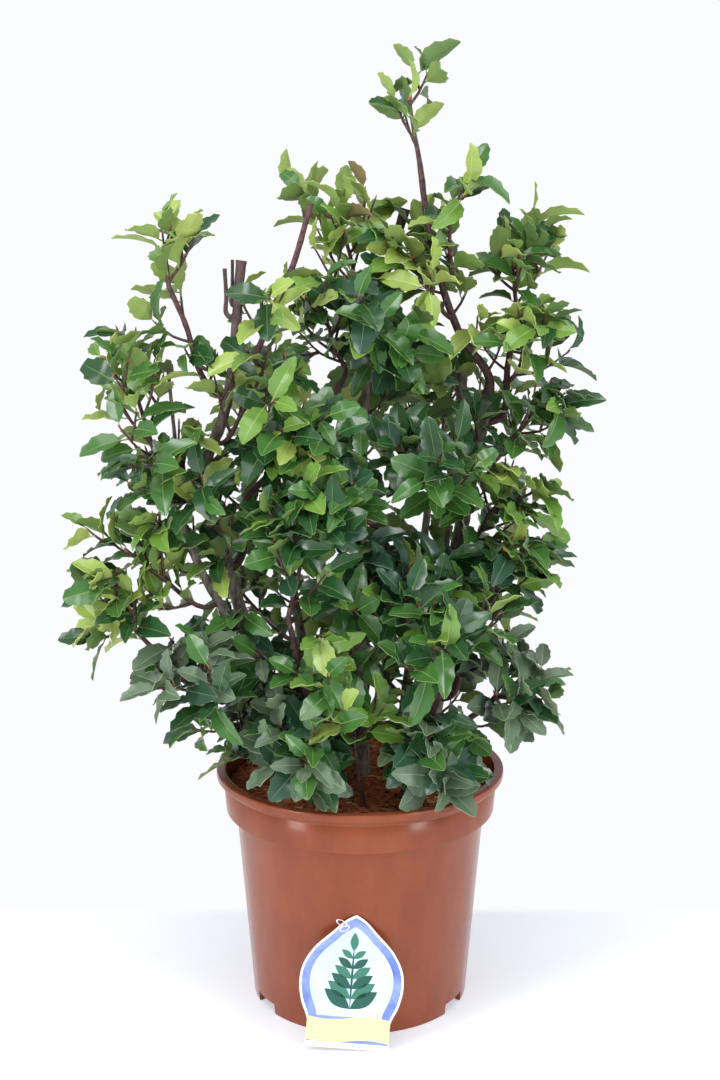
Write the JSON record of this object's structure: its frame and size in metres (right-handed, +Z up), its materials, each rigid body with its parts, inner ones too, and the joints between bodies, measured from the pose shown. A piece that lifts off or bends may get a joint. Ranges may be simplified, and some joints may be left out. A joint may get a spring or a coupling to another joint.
{
  "type": "potted holly shrub",
  "caption": "Upright, many-stemmed blue holly shrub with open evergreen foliage, in a round tapering nursery pot filled with soil, with a care card leaning on the front.",
  "frame": {"origin": "centre of the pot's flat underside", "axes": "+X to the viewer's right, +Y away from the viewer, +Z up"},
  "size_m": [0.4053, 0.3396, 0.7248],
  "materials": {
    "terracotta_plastic": "gloss",
    "peat_soil": "matte",
    "coated_card": "satin",
    "bark": "matte",
    "holly_leaf": "satin"
  },
  "bodies": {
    "root": {"pot": "terracotta_plastic", "soil": "peat_soil", "care_card": "coated_card", "right_trunk": "bark", "leader": "bark", "fork_bough": "bark", "cut_stub": "bark", "left_trunk": "bark", "left_shoot": "bark", "inner_shoot": "bark", "low_left_bough": "bark", "left_bough": "bark", "diagonal_bough": "bark", "centre_trunk": "bark", "cross_bough": "bark", "right_low_bough": "bark", "low_right_bough": "bark", "front_left_stem": "bark", "front_right_stem": "bark", "front_sprig_stem": "bark", "back_left_stem": "bark", "back_right_stem": "bark", "leader_tip": "holly_leaf", "leader_right": "holly_leaf", "leader_left": "holly_leaf", "fork_top": "holly_leaf", "fork_right": "holly_leaf", "right_tip": "holly_leaf", "right_middle": "holly_leaf", "right_low": "holly_leaf", "low_right": "holly_leaf", "front_right": "holly_leaf", "front_sprig": "holly_leaf", "front_left": "holly_leaf", "low_left_tip": "holly_leaf", "low_left_side": "holly_leaf", "left_middle": "holly_leaf", "far_left": "holly_leaf", "left_inner": "holly_leaf", "left_peak": "holly_leaf", "inner_leaves": "holly_leaf", "left_core": "holly_leaf", "diagonal_top": "holly_leaf", "diagonal_middle": "holly_leaf", "centre_peak": "holly_leaf", "centre_top": "holly_leaf", "cross_tip": "holly_leaf", "centre_front": "holly_leaf", "centre_low": "holly_leaf", "back_high": "holly_leaf", "back_left_top": "holly_leaf", "back_left_side": "holly_leaf", "back_right_top": "holly_leaf", "back_right_side": "holly_leaf", "back_low": "holly_leaf", "skirt_left": "holly_leaf", "skirt_front": "holly_leaf", "skirt_right": "holly_leaf"}
  },
  "joints": []
}
